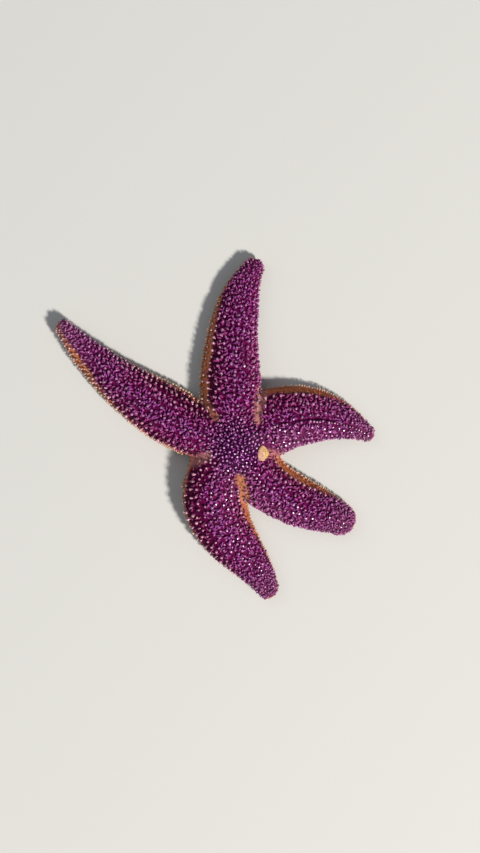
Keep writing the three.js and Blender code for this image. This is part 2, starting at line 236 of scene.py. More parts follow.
STEP = 0.5  # size of the grid's cells
ARM_BLEND = 2.4  # how widely neighbouring arms and the disc run into each other
SHARP_BLEND = 0.8  # the same for the furrows, the mouth and the edge of the flat belly
CROWN_DROP = 1.1  # the arms sink by this towards the disc's middle, where all of them meet
CROWN_REACH = 20.0  # how far from the middle they do
CROWN_FROM = 4.0  # the height above which they do
OUTSIDE = -9.0  # depth of what lies well outside
MARGIN_ROOM = 3.0  # grid kept round the body
PINCH_FILL = 0.05  # the depth given to grid points where the surface would touch itself
PINCH_ROUNDS = 3


def grid_axes():
    low = np.array(cad_box[0]) / MM - MARGIN_ROOM
    high = np.array(cad_box[1]) / MM + MARGIN_ROOM
    return [np.arange(low[i], high[i] + STEP, STEP) for i in range(3)]


def body_field(axes):
    """Depth under the skin at each grid point, positive inside the body."""
    x, y, z = axes
    columns = np.stack(np.meshgrid(x, y, indexing="ij"), axis=2).reshape(-1, 2)
    radius = np.hypot(*(columns - DISC_CENTRE).T)
    heights = z[None, :]
    rise = (heights - DOME["foot"]) / (DOME["height"] - COAT - DOME["foot"])
    power = DOME["power"]
    reach = (radius[:, None] / DOME["radius"]) ** power + np.maximum(rise, 0) ** power
    body = np.minimum((1 - reach ** (1 / power)) * DOME["depth"], heights - SOLE)
    carve = np.full(body.shape, OUTSIDE)
    for arm in ARMS:
        s, left, ahead, _ = arm_place(arm, columns)
        near = np.hypot(left, ahead) < max(arm["half_width"]) + 6
        s, left, ahead = s[near, None], left[near, None], ahead[near, None]
        drop = CROWN_DROP * (1 - smoothstep(0, CROWN_REACH, s)) * (heights > CROWN_FROM)
        depth = depth_in_arm(arm, s, left, np.maximum(ahead, 0), heights + drop)
        depth = np.where(ahead < 0, np.minimum(depth, ahead + 4), depth)
        body[near] = smooth_max(body[near], depth, ARM_BLEND)
        size = arm_sizes(arm, s)
        half = furrow_half(size["u"])
        vault = FURROW["vault"] * (1 - np.sqrt(np.clip(1 - (left / half) ** 2, 0, 1)))
        slot = smooth_min(half - np.abs(left), furrow_roof(size) - vault - heights, SHARP_BLEND)
        slot = np.minimum(slot, FURROW["end"] * size["half_width"] - ahead)
        carve[near] = np.maximum(carve[near], np.where(ahead < 0, OUTSIDE, slot))
    above_sole = np.maximum(heights - SOLE, 0) / (MOUTH["roof"] - SOLE)
    bowl = (1 - np.hypot(radius[:, None] / MOUTH["radius"], above_sole)) * MOUTH["depth"]
    body = smooth_min(body, heights - SOLE, SHARP_BLEND)
    body = smooth_min(body, -np.maximum(carve, bowl), SHARP_BLEND)
    return body.reshape(len(x), len(y), len(z)).astype(np.float32)


SQUARE = ((0, 0), (0, 1), (1, 0), (1, 1))


def fill_pinches(field):
    """Fills in place the grid squares whose inside corners lie only across a diagonal, because
    the surface would touch itself along an edge there."""
    for _ in range(PINCH_ROUNDS):
        for one, two in ((0, 1), (0, 2), (1, 2)):
            corners = []
            for step_one, step_two in SQUARE:
                part = [slice(None)] * 3
                part[one] = slice(step_one, field.shape[one] - 1 + step_one)
                part[two] = slice(step_two, field.shape[two] - 1 + step_two)
                corners.append(field[tuple(part)])
            a, b, c, d = [corner > 0 for corner in corners]
            crossed = (a == d) & (b == c) & (a != b)
            for corner in corners:
                corner[crossed] = np.maximum(corner[crossed], PINCH_FILL)


def surface_net(field):
    """Points and quads where the field crosses zero, in grid cells. One point lies in each
    cell that the surface passes through, at the mean of its edges' crossings."""
    cells = tuple(n - 1 for n in field.shape)
    count = cells[0] * cells[1] * cells[2]
    total = np.zeros((3, count))
    hits = np.zeros(count)
    edges = []
    for axis in range(3):
        low = [slice(None)] * 3
        high = [slice(None)] * 3
        low[axis], high[axis] = slice(None, -1), slice(1, None)
        a, b = field[tuple(low)], field[tuple(high)]
        at = np.argwhere((a > 0) != (b > 0))
        first, second = a[tuple(at.T)], b[tuple(at.T)]
        crossing = at.astype(float)
        crossing[:, axis] += first / (first - second)
        edges.append((axis, at, first > 0))
        for back in SQUARE:
            cell = at - np.insert(back, axis, 0)
            flat = np.ravel_multi_index(cell.T, cells)
            hits += np.bincount(flat, minlength=count)
            for i in range(3):
                total[i] += np.bincount(flat, crossing[:, i], minlength=count)
    used = hits > 0
    number = np.cumsum(used) - 1
    points = (total[:, used] / hits[used]).T
    quads = []
    for axis, at, leaves in edges:
        corners = []
        for back in ((1, 1), (0, 1), (0, 0), (1, 0)):
            cell = at - np.roll([0, *back], axis)
            corners.append(number[np.ravel_multi_index(cell.T, cells)])
        quad = np.stack(corners, axis=1)
        quads.append(np.where(leaves[:, None], quad, quad[:, ::-1]))
    return points, np.concatenate(quads)


def unit(vectors):
    return vectors / np.maximum(np.linalg.norm(vectors, axis=-1, keepdims=True), 1e-9)


SLOPE_REACH = 0.6  # how far to each side the slope is taken
LONGEST_MOVE = 0.8


class Field:
    """The body's field on its grid, read between the grid points."""

    def __init__(self):
        self.axes = grid_axes()
        self.low = np.array([axis[0] for axis in self.axes])
        self.values = body_field(self.axes)
        fill_pinches(self.values)

    def depth(self, points):
        at = (points - self.low) / STEP
        cell = np.clip(at.astype(int), 0, np.array(self.values.shape) - 2)
        part = np.clip(at - cell, 0, 1)
        depth = np.zeros(len(points))
        for corner in np.ndindex(2, 2, 2):
            bits = np.array(corner[::-1])
            share = np.where(bits, part, 1 - part).prod(1)
            i, j, k = (cell + bits).T
            depth += share * self.values[i, j, k]
        return depth

    def outwards(self, points):
        """The direction out of the body at each point."""
        moves = SLOPE_REACH * np.eye(3)
        slope = [self.depth(points - move) - self.depth(points + move) for move in moves]
        return unit(np.stack(slope, axis=1))

    def onto_skin(self, points, rounds=4):
        """Moves points along the slope until they lie on the skin."""
        for _ in range(rounds):
            move = np.clip(self.depth(points), -LONGEST_MOVE, LONGEST_MOVE)[:, None]
            points = points + self.outwards(points) * move
        return points


# ---- places and markings

# The bare clefts between the arms: where each begins and ends, from the disc's centre, its
# half-width there, how strong its colour is and how pink. Anticlockwise from arms a and e.
CLEFTS = [
    dict(start=(-7.2, 11.2), end=(-14.5, 20.5), half_width=(1.2, 1.3), strength=0.65, pink=0.2),
    dict(start=(-11.5, -3.6), end=(-17.8, -5.8), half_width=(1.7, 2.0), strength=0.6, pink=0.9),
    dict(start=(1.9, -13.4), end=(5.4, -24.8), half_width=(2.0, 1.2), strength=1.0, pink=0.15),
    dict(start=(14.0, -2.4), end=(19.0, -3.9), half_width=(1.6, 1.6), strength=0.48, pink=0.5),
    dict(start=(8.6, 10.2), end=(10.4, 22.0), half_width=(1.3, 2.0), strength=0.9, pink=0.75),
]

# Each arm's flanks, left and right. The tables run evenly from the disc's centre to the tip. band
# and thin_and_shaded are degrees of sweep up the flank: where its orange band ends, and where its
# papulae, which stand thinly above the band, close up; the flanks where they stand thinly mostly
# face away from the key, and get painted shade on their skin and papulae and painted light on their
# heads.
# pale is how far they go over to a paler colour, partly their own and partly painted light on sides
# that face the key, and knobs how large the cream knobs of its margin are; where these are large,
# the band is painted lighter.
FLANKS = [
    (dict(band=[28, 30, 26, 28, 49, 62], thin_and_shaded=[40, 58, 62, 58, 62, 70], pale=[0, 0, 0, 0.1, 0.3, 1],
          knobs=[0.3, 0.3, 0.3, 0.5, 0.6, 0.4]),
     dict(band=[20, 21, 16, 6, 2, 6], thin_and_shaded=[40, 62, 62, 48, 25, 0], pale=[0, 0, 0, 0, 0.2, 0.8],
          knobs=[0.6, 0.6, 0.5, 0.2, 0, 0])),
    (dict(band=[26, 31, 34, 28, 14, 8], thin_and_shaded=[0, 0, 0, 0, 0, 0], pale=[0, 0.2, 0.2, 0.1, 0.2, 0.6],
          knobs=[0.2, 0.2, 0.2, 0.1, 0, 0]),
     dict(band=[30, 34, 30, 20, 8, 6], thin_and_shaded=[50, 80, 84, 76, 45, 0], pale=[0, 0, 0, 0, 0.2, 0.6],
          knobs=[0.6, 0.6, 0.5, 0.3, 0, 0])),
    (dict(band=[26, 32, 34, 32, 24, 10], thin_and_shaded=[0, 0, 0, 0, 0, 0], pale=[0, 0, 0, 0, 0.1, 0.5],
          knobs=[0.2, 0.2, 0.3, 0.3, 0.2, 0]),
     dict(band=[6, 4, 0, 0, 0, 5], thin_and_shaded=[0, 0, 0, 0, 0, 0], pale=[0, 0.4, 0.5, 0.5, 0.5, 0.6],
          knobs=[0, 0, 0, 0, 0, 0])),
    (dict(band=[28, 31, 31, 27, 16, 8], thin_and_shaded=[30, 38, 38, 30, 0, 0], pale=[0, 0, 0, 0.1, 0.3, 0.7],
          knobs=[0.3, 0.2, 0.2, 0.1, 0.1, 0]),
     dict(band=[12, 8, 5, 0, 0, 5], thin_and_shaded=[0, 0, 0, 0, 0, 0], pale=[0, 0.5, 0.7, 0.6, 0.5, 0.8],
          knobs=[0.1, 0.1, 0, 0, 0, 0])),
    (dict(band=[32, 36, 36, 31, 19, 14], thin_and_shaded=[40, 60, 60, 52, 30, 0], pale=[0, 0, 0, 0, 0, 0.1],
          knobs=[1.2, 1.2, 1.2, 1.1, 0.6, 0.4]),
     dict(band=[3, 2, 0, 0, 0, 5], thin_and_shaded=[0, 0, 0, 0, 0, 0], pale=[0, 0, 0, 0.1, 0, 0.1],
          knobs=[0, 0, 0, 0, 0, 0])),
]
SEAM_ARM = 3  # the arm with a dark seam to the left of its ridge
SEAM = dict(start=0.33, end=0.76, half_width=0.32, aside=1.05)

# Linear colours of the living animal, some with painted light and shade laid in, as noted.
DEEP = np.array([0.085, 0.0010, 0.038])  # skin between the papulae
DEEPEST = np.array([0.032, 0.0006, 0.024])  # the same in the middle of the disc
FLESH = np.array([0.240, 0.033, 0.142])  # papulae and pedicellariae of the back
PALE_AND_LIT_FLESH = np.array([0.300, 0.082, 0.230])  # the same on the paler flanks and tips: partly their own colour, partly painted light on sides that face the key
VIOLET = np.array([0.205, 0.038, 0.205])  # the same along the ridges, where it is painted sky reflection, and the arms' own bluish purple towards the tips and in the disc's middle
RUDDY = np.array([0.200, 0.024, 0.075])  # the same above the orange bands
FLANK = np.array([0.330, 0.100, 0.045])  # orange-brown bands of the flanks
CLEFT = np.array([0.370, 0.135, 0.055])  # orange of the clefts
PINK = np.array([0.450, 0.190, 0.185])  # the pinker ones
BELLY = np.array([0.560, 0.340, 0.180])  # cream underside
TIP = np.array([0.265, 0.088, 0.190])  # paler arm tips
HEAD = np.array([0.325, 0.122, 0.247])  # blunt heads of the spines
DISC_HEAD = np.array([0.480, 0.210, 0.430])  # the same in the middle of the disc
FLANK_HEAD = np.array([0.470, 0.215, 0.285])  # paler heads low on the flanks, partly their own colour and partly painted light on the shaded flanks
FRINGE = np.array([0.540, 0.340, 0.230])  # cream heads along the orange margins and below


def ripple(points, size):
    """Smooth, irregular values between about -1 and 1 that change over the given size."""
    x, y, z = (points / size).T
    return (np.sin(x + 1.7 * np.sin(y * 0.9 + 1.3)) + np.sin(y * 1.1 + 1.9 * np.sin(z + x * 0.6))
            + np.sin(1.3 * z + 1.1 * np.sin(x * 0.8 - y))) / 2.4


class Places:
    """Where points lie on the body: which arm, how far along it, and how far up its flank."""

    SIZES = ("u", "half_width", "ridge", "margin", "sole", "lean")

    def __init__(self, points):
        self.points = points
        count = len(points)
        best = np.full(count, -1e9)
        self.arm = np.zeros(count, int)
        names = ("s", "left", "ahead", "turn") + self.SIZES
        for name in names:
            setattr(self, name, np.zeros(count))
        for number, arm in enumerate(ARMS):
            s, left, ahead, turn = arm_place(arm, points[:, :2])
            depth = depth_in_arm(arm, s, left, np.maximum(ahead, 0), points[:, 2])
            depth = np.where(ahead < 0, np.minimum(depth, ahead), depth)
            better = depth > best
            best = np.where(better, depth, best)
            self.arm[better] = number
            size = dict(arm_sizes(arm, s), s=s, left=left, ahead=ahead, turn=turn)
            for name in names:
                getattr(self, name)[better] = size[name][better]
        self.radius = np.hypot(*(points[:, :2] - DISC_CENTRE).T)
        rise = np.clip((points[:, 2] - self.margin) / (self.ridge - self.margin), 0, 1)
        self.sweep = np.degrees(np.arcsin(rise ** (BACK_POWER / 2)))
        self.side = np.where(self.left > self.half_width * self.lean * rise, 1.0, -1.0)

    def take(self, chosen):
        """The same for some of the points."""
        part = Places.__new__(Places)
        for name, values in vars(self).items():
            setattr(part, name, values[chosen])
        return part

    def forward(self):
        """The direction of the arm at each point, level."""
        return np.stack([np.cos(self.turn), np.sin(self.turn), np.zeros(len(self.turn))], axis=1)

    def unwrap(self):
        """The skin unrolled: each arm is cut along its furrow and laid flat in a cell of its
        own, with the girth across and the length up."""
        across = np.degrees(np.arctan2(self.points[:, 2] - self.margin, self.left))
        girth = ((across + 90) % 360) / 360
        length = np.clip((self.s + np.maximum(self.ahead, 0)) / UNROLLED, 0, 1)
        column, row = self.arm % 3, self.arm // 3
        u = (column + CELL_FROM + CELL_PART * girth) / 3
        v = (row + CELL_FROM + CELL_PART * length) / 2
        return np.stack([u, v], axis=1)


UNROLLED = 92.0  # length of an arm's cell of the unwrap
CELL_FROM = 0.03  # where in its cell an arm begins, and
CELL_PART = 0.94  # how much of the cell it takes


def mix(a, b, share):
    return a + (b - a) * np.asarray(share)[..., None]


def flank_table(places, name):
    """The named table of FLANKS, read at each point."""
    values = np.zeros(len(places.u))
    for number, flanks in enumerate(FLANKS):
        for side, flank in zip((1, -1), flanks):
            own = (places.arm == number) & (places.side == side)
            values[own] = along(flank[name], places.u[own])
    return values


def in_seam(places, room=0.0):
    """True for points on the dark seam of one arm's back, or within room of it."""
    aside = places.left - places.half_width * places.lean - SEAM["aside"]
    aside = np.abs(aside + 0.2 * ripple(places.points, 1.7))
    inside = (places.arm == SEAM_ARM) & (aside < SEAM["half_width"] + room)
    return inside & (places.sweep > 60) & (places.u > SEAM["start"]) & (places.u < SEAM["end"])


def markings(places):
    """How far each point's colour goes over to that of each region, from 0 to 1."""
    points = places.points
    wobble = ripple(points, 2.2)
    band_top = flank_table(places, "band") + 4 * wobble
    band = 1 - smoothstep(band_top - 9, band_top, places.sweep)
    rich = smoothstep(2, 16, band_top)
    ruddy = rich * (1 - smoothstep(band_top, band_top + 24, places.sweep))
    # The flanks where the papulae stand thinly; they mostly face away from the key, and this mark
    # also lays painted shade and painted light on them.
    thin_top = flank_table(places, "thin_and_shaded") + 6 * wobble
    thin_and_shaded = 1 - smoothstep(thin_top - 16, thin_top, places.sweep)
    # The paler flanks and tips: partly their own colour, partly painted light on sides that face
    # the key.
    pale = flank_table(places, "pale") * (1 - 0.6 * smoothstep(70, 90, places.sweep))
    knobs = flank_table(places, "knobs")
    # Painted sky reflection on the papulae along the ridges, where the backs face up, over the
    # arms' own bluish purple towards the tips.
    violet_and_sky_sheen = smoothstep(56, 84, places.sweep + 9 * ripple(points, 4.0))
    violet_and_sky_sheen = np.maximum(violet_and_sky_sheen, 0.7 * smoothstep(0.5, 0.85, places.u + 0.05 * wobble))
    below = points[:, 2] - places.margin
    belly = 1 - smoothstep(-1.7, -0.5, below + 0.3 * wobble)
    in_furrow = np.abs(places.left) < furrow_half(places.u) + 0.4
    in_furrow &= points[:, 2] < 0.5 * places.ridge + 1.0
    belly = np.maximum(belly, in_furrow)
    tip = smoothstep(0.84, 1.02, places.u + np.maximum(places.ahead, 0) / 60)
    tip = tip * (0.05 + 0.8 * np.minimum(pale, 1))
    middle = 1 - smoothstep(8.0, 15.0, places.radius + wobble)
    cleft = np.zeros(len(points))
    pink = np.zeros(len(points))
    offset = points[:, :2] - DISC_CENTRE
    for part in CLEFTS:
        begin, course = np.array(part["start"]), np.subtract(part["end"], part["start"])
        way = np.clip((offset - begin) @ course / (course @ course), 0, 1)
        aside = np.linalg.norm(offset - begin - way[:, None] * course, axis=1)
        wide = part["half_width"][0] * (1 - way) + part["half_width"][1] * way
        inside = 1 - smoothstep(0.5 * wide, 1.7 * wide, aside + 0.5 * wobble)
        pink = np.where(inside * part["strength"] > cleft, part["pink"], pink)
        cleft = np.maximum(cleft, inside * part["strength"])
    seam = in_seam(places).astype(float)
    return dict(seam=seam, band=band, rich=rich, ruddy=ruddy, thin_and_shaded=thin_and_shaded, pale=pale, knobs=knobs,
                violet_and_sky_sheen=violet_and_sky_sheen, belly=belly, tip=tip, middle=middle, cleft=cleft, pink=pink)


def layered(colour, *layers):
    """A colour with others laid over it in turn, each as far as its own share."""
    for over, share in layers:
        colour = mix(colour, over, share)
    return colour


def cleft_colour(marks):
    return mix(CLEFT, PINK, marks["pink"])


def skin_colour(marks):
    return layered(
        DEEP, (DEEPEST, marks["middle"]),
        # painted shade: the skin darker on the flanks that face away from the key
        (DEEP * 0.6, 0.8 * marks["thin_and_shaded"]),
        (RUDDY * 0.3, 0.6 * marks["ruddy"]),
        # partly painted light: the skin paler on the pale flanks
        (PALE_AND_LIT_FLESH * 0.4, 0.5 * marks["pale"]),
        (DEEPEST * 0.4, marks["seam"]),
        # painted light: the band lighter where the margin's knobs are large, as on the shaded flank
        # of arm e
        (FLANK * (1 + 0.4 * marks["knobs"][:, None]), marks["band"]),
        (cleft_colour(marks), marks["cleft"]),
        (TIP * 0.5, 0.6 * marks["tip"]),
        (BELLY, marks["belly"]))


def flesh_colour(marks):
    return layered(
        # painted sky reflection along the ridges, over the arms' own colour towards the tips
        FLESH, (VIOLET, 0.7 * marks["violet_and_sky_sheen"]),
        (VIOLET, 0.4 * marks["middle"]),
        # partly painted shade: the papulae ruddier and darker on the shaded flanks
        (RUDDY, np.maximum(0.7 * marks["ruddy"], 0.6 * marks["thin_and_shaded"])),
        # partly painted light: the papulae paler on the pale flanks
        (PALE_AND_LIT_FLESH, 0.8 * marks["pale"]),
        (FLANK * 1.2, marks["band"]),
        (cleft_colour(marks) * 1.1, marks["cleft"]),
        (TIP, 0.7 * marks["tip"]),
        (BELLY, marks["belly"]))


def head_colour(marks):
    return layered(
        HEAD, (DISC_HEAD, marks["middle"]),
        # partly painted light: the heads paler on the shaded flanks
        (FLANK_HEAD, np.maximum(marks["thin_and_shaded"], 0.8 * marks["ruddy"])),
        (TIP * 1.5, 0.6 * marks["tip"]),
        (FRINGE, np.maximum(0.6 * marks["band"], marks["belly"])))


# ---- meshes


def linked(name, data):
    """A new object that shows the data, in the scene."""
    item = bpy.data.objects.new(name, data)
    bpy.context.scene.collection.objects.link(item)
    return item


def mesh_object(name, points, faces, colours, unwrap=None):
    """A smooth-shaded object from points in millimetres and faces of 3 or 4 corners. colours
    are per point, unwrap per face corner."""
    mesh = bpy.data.meshes.new(name)
    mesh.from_pydata((points * MM).tolist(), [], faces.tolist(), shade_flat=False)
    tint = mesh.color_attributes.new("Tint", "FLOAT_COLOR", "POINT")
    rgba = np.c_[np.clip(colours, 0, 1), np.ones(len(points))].astype(np.float32)
    tint.data.foreach_set("color", rgba.ravel())
    if unwrap is not None:
        layer = mesh.uv_layers.new(name="OFBake")
        layer.data.foreach_set("uv", np.ascontiguousarray(unwrap, np.float32).ravel())
    mesh.validate()
    return linked(name, mesh)


def finish_piece(piece, material):
    """Gives a piece its material and slot, and lets it ride on the animal's one body."""
    piece.data.materials.append(material)
    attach(piece, "root")


def aside_of(direction, reference):
    """Two unit vectors square to the direction, the first as near the reference as can be."""
    first = unit(reference - (reference * direction).sum(-1, keepdims=True) * direction)
    return first, np.cross(direction, first)


PATCH = 0.0015  # half the width of each small shape's patch of the unwrap


class Coat:
    """Many small closed shapes joined in one mesh. Each is a row of rings round a middle line
    that ends in a point, and its surface is a disc on the unwrap."""

    def __init__(self, sides):
        self.sides = sides
        self.points, self.faces, self.colours, self.unwrap = [], [], [], []
        self.count = 0

    def add(self, lines, radii, first, second, colours, roots):
        """lines: (n, rings, 3), middles of the rings and last the end point. radii: (n,
        rings - 1, sides). first, second: (n, rings - 1, 3), directions across each ring; these
        three may have 1 for a size. colours: (n, rings, 3). roots: (n, 2), on the unwrap."""
        n, rings = lines.shape[:2]
        sides = self.sides
        turn = np.arange(sides) * 2 * np.pi / sides
        circle = (np.cos(turn)[:, None] * first[:, :, None, :]
                  + np.sin(turn)[:, None] * second[:, :, None, :])
        loops = lines[:, :-1, None, :] + circle * radii[..., None]
        per = (rings - 1) * sides + 1
        points = np.concatenate([loops.reshape(n, -1, 3), lines[:, -1:, :]], axis=1)
        shade = np.repeat(colours[:, :-1, None, :], sides, axis=2).reshape(n, -1, 3)
        shade = np.concatenate([shade, colours[:, -1:, :]], axis=1)
        spread = np.linspace(1.0, 0.0, rings)[:-1, None, None]
        disc = (spread * np.stack([np.cos(turn), np.sin(turn)], axis=1)).reshape(-1, 2)
        disc = np.concatenate([disc, [[0.0, 0.0]]]) * PATCH
        ring = np.arange(rings - 2)[:, None] * sides
        side = np.arange(sides)[None, :]
        after = (side + 1) % sides
        lower = np.stack([ring + side, ring + after, ring + sides + after], axis=2)
        upper = np.stack([ring + side, ring + sides + after, ring + sides + side], axis=2)
        top = (rings - 2) * sides
        cap = np.stack([top + side[0], top + after[0], np.full(sides, per - 1)], axis=1)
        base = np.stack([np.zeros(sides - 2, int), side[0, 2:], side[0, 1:-1]], axis=1)
        shape = np.concatenate([base, lower.reshape(-1, 3), upper.reshape(-1, 3), cap])
        start = self.count + np.arange(n)[:, None, None] * per
        self.faces.append((start + shape[None]).reshape(-1, 3))
        self.points.append(points.reshape(-1, 3))
        self.colours.append(shade.reshape(-1, 3))
        self.unwrap.append((roots[:, None, :] + disc[None]).reshape(-1, 2))
        self.count += n * per

    def finish(self, name, material):
        faces = np.concatenate(self.faces)
        unwrap = np.concatenate(self.unwrap)[faces.ravel()]
        piece = mesh_object(name, np.concatenate(self.points), faces,
                            np.concatenate(self.colours), unwrap)
        finish_piece(piece, material)


def button(name, centre, across, along, up, sizes, relief, colour_of, rings=26, segments=96):
    """A closed, rounded button. sizes are its half-width across, half-length along and height;
    relief(r, turn) raises its face, as a part of the height, and colour_of(r, turn) tints it."""
    turn = np.arange(segments) * 2 * np.pi / segments
    out = np.linspace(0, 1, rings + 1)[1:]
    r, t = np.meshgrid(np.sin(out * np.pi / 2) ** 0.8, turn, indexing="ij")
    height = np.cos(np.repeat(out[:, None], segments, axis=1) * np.pi / 2) ** 0.55
    height = height + relief(r, t)
    foot = np.full(segments, -1.0)
    r_all = np.r_[r.ravel(), np.full(segments, 0.9)]
    t_all = np.r_[t.ravel(), turn]
    height_all = np.r_[height.ravel(), foot]
    flat = (across * (r_all * np.cos(t_all) * sizes[0])[:, None]
            + along * (r_all * np.sin(t_all) * sizes[1])[:, None])
    points = centre + flat + up * (height_all * sizes[2])[:, None]
    top = centre + up * sizes[2] * (1 + relief(np.zeros(1), np.zeros(1)))[0]
    bottom = centre - up * sizes[2]
    points = np.r_[points, [top], [bottom]]
    colours = colour_of(r_all, t_all)
    colours = np.r_[colours, colour_of(np.zeros(2), np.zeros(2))]
    side = np.arange(segments)
    after = (side + 1) % segments
    faces = [np.stack([np.full(segments, len(points) - 2), side, after], axis=1)]
    for ring in range(rings):
        low, high = ring * segments, (ring + 1) * segments
        faces.append(np.stack([low + side, high + side, high + after], axis=1))
        faces.append(np.stack([low + side, high + after, low + after], axis=1))
    last = rings * segments
    faces.append(np.stack([last + after, last + side, np.full(segments, len(points) - 1)], axis=1))
    faces = np.concatenate(faces)
    if np.dot(np.cross(across, along), up) < 0:
        faces = faces[:, ::-1]
    return mesh_object(name, points, faces, colours)


# ---- spreading pieces over the skin


def triangle_samples(points, quads, count):
    """Points spread evenly at random over the mesh."""
    corners = points[np.concatenate([quads[:, [0, 1, 2]], quads[:, [0, 2, 3]]])]
    sides = corners[:, 1:] - corners[:, :1]
    area = np.linalg.norm(np.cross(sides[:, 0], sides[:, 1]), axis=1)
    chosen = np.searchsorted(np.cumsum(area) / area.sum(), rng.random(count))
    chosen = np.minimum(chosen, len(area) - 1)
    one, two = rng.random((2, count, 1))
    fold = (one + two) > 1
    one, two = np.where(fold, 1 - one, one), np.where(fold, 1 - two, two)
    return corners[chosen, 0] + one * sides[chosen, 0] + two * sides[chosen, 1]


def keep_apart(points, gaps, taken, taken_gap):
    """Indices of points that stand their own gap from each other, and taken_gap from those
    already taken."""
    tree = mathutils.kdtree.KDTree(len(points))
    spots = points.tolist()
    for number, spot in enumerate(spots):
        tree.insert(spot, number)
    tree.balance()
    free = [True] * len(spots)
    for spot in taken.tolist():
        for _, other, _ in tree.find_range(spot, taken_gap):
            free[other] = False
    kept = []
    for number, (spot, gap) in enumerate(zip(spots, gaps.tolist())):
        if free[number]:
            kept.append(number)
            for _, other, _ in tree.find_range(spot, gap):
                free[other] = False
    return np.array(kept, int)


def flank_points(arm, s, sweep, side):
    """Points of the outline at s, sweep degrees above the margin (below it if negative), on the
    left (1) or right (-1). Past the arm's length, s goes on round the tip."""
    length = arm["length"]
    size = arm_sizes(arm, np.minimum(s, length))
    above = sweep > 0
    power = np.where(above, BACK_POWER, BELLY_POWER)
    tall = np.where(above, size["ridge"] - size["margin"], size["sole"] - size["margin"])
    rise = np.abs(np.sin(np.radians(sweep))) ** (2 / power)
    across = np.cos(np.radians(sweep)) ** (2 / power)
    wide = size["half_width"]
    round_tip = np.maximum(s - length, 0) / wide
    left = wide * (side * across * np.cos(round_tip) + size["lean"] * rise * above)
    ahead = wide * across * np.sin(round_tip)
    return arm_points(arm, np.minimum(s, length), left, ahead, size["margin"] + tall * rise)


def arm_points(arm, s, left, ahead, height):
    """Points at s along the arm, left of its midline and ahead of that, at a height."""
    at = np.clip(s / arm["length"], 0, 1) * (len(arm["points"]) - 1)
    low = np.minimum(at.astype(int), len(arm["points"]) - 2)
    part = (at - low)[:, None]
    middle = arm["points"][low] * (1 - part) + arm["points"][low + 1] * part
    turn = heading_at(arm, s / arm["length"])
    x = middle[:, 0] - np.sin(turn) * left + np.cos(turn) * ahead
    y = middle[:, 1] + np.cos(turn) * left + np.sin(turn) * ahead
    return np.stack([x, y, height * np.ones(len(s))], axis=1)


STRAY = 1.3  # a row's root that the skin lies further from than this is in a cleft, and left out


def row_places(pitch, sweep, start=15.0, wander=0.12, round_tip=0.85, sides=(1, -1)):
    """Roots of a row of small shapes along both flanks of every arm, at a given sweep."""
    roots = []
    for arm in ARMS:
        tip_width = arm["half_width"][-1] - COAT
        end = arm["length"] + round_tip * tip_width * np.pi / 2
        for side in sides:
            s = np.arange(start, end, pitch)
            s = s + rng.uniform(-1, 1, len(s)) * pitch * wander
            waver = sweep + rng.uniform(-2, 2, len(s))
            roots.append(flank_points(arm, s, np.clip(waver, -88, 89.5), side))
    planned = np.concatenate(roots)
    roots = field.onto_skin(planned)
    near = np.linalg.norm(roots - planned, axis=1) < STRAY
    return Places(roots[near])


def lean_out(places, forward, outward, down, wobble):
    """Directions along the skin's normal, tipped towards the arms' tips, out and down."""
    normal = field.outwards(places.points)
    away = unit(normal * [1, 1, 0])
    loose = rng.normal(0, wobble, normal.shape)
    drop = np.array([0, 0, -down])
    return unit(normal + forward * places.forward() + outward * away + drop + loose)


# The small shapes' profiles: each ring's height and radius, as parts of the shape's length and
# radius. A spine of the back rises from a collar of pedicellariae.
BLUNT = np.array([
    [-0.35, 1.2], [0.10, 1.25], [0.28, 1.05], [0.38, 0.84], [0.66, 0.98], [0.85, 1.0],
    [0.95, 0.88], [0.985, 0.70], [0.992, 0.52], [1.0, 0.0]])
STUBBY = np.array([
    [-0.35, 1.2], [0.08, 1.2], [0.22, 1.0], [0.34, 0.86], [0.64, 1.0], [0.84, 0.96],
    [0.95, 0.76], [0.99, 0.45], [1.0, 0.0]])
KNOB = np.array([
    [-0.35, 1.0], [0.10, 0.95], [0.42, 0.85], [0.70, 1.0], [0.90, 0.80], [1.0, 0.0]])
SLENDER = np.array([
    [-0.30, 1.1], [0.05, 1.0], [0.50, 0.92], [0.76, 1.0], [0.92, 0.84], [1.0, 0.0]])
COLLAR = 0.3  # the part of a profile's height that takes the colour of the flesh
HEAD_FROM = 0.65  # where the colour of the head is reached


def add_spines(coat, places, directions, lengths, radii, profile, root_tint, head_tint, lobes=0.0):
    """Adds spines of one profile. The tints are per spine, at the root and at the head; lobes
    is how deeply the collar is parted into knobs."""
    n = len(lengths)
    heights, widths = profile.T
    lines = places.points[:, None] + directions[:, None] * (heights * lengths[:, None])[..., None]
    ring_radii = (radii[:, None] * widths[:-1])[:, :, None]
    knobs = 1 + lobes * rng.uniform(-1, 1, (n, 1, coat.sides))
    in_collar = (heights[:-1] < COLLAR)[None, :, None]
    ring_radii = np.where(in_collar, ring_radii * knobs, ring_radii)
    first, second = aside_of(directions, np.array([0.31, 0.17, 0.93]))
    tint = mix(root_tint[:, None], head_tint[:, None], smoothstep(COLLAR, HEAD_FROM, heights))
    coat.add(lines, ring_radii, first[:, None], second[:, None], tint, places.unwrap())


# A papula's middle line: parts of its length, and of its radius and shade at each ring.
FINGER_STEPS = np.array([-0.08, 0.18, 0.40, 0.62, 0.82, 0.95, 1.0])
FINGER_WIDTHS = np.array([1.05, 0.98, 1.0, 1.04, 1.0, 0.70])
FINGER_SHADES = np.array([0.0, 0.40, 0.80, 0.95, 1.03, 1.08, 1.08])
FINGER_RISE = 0.6  # its lean at the root, in radians from the skin's normal


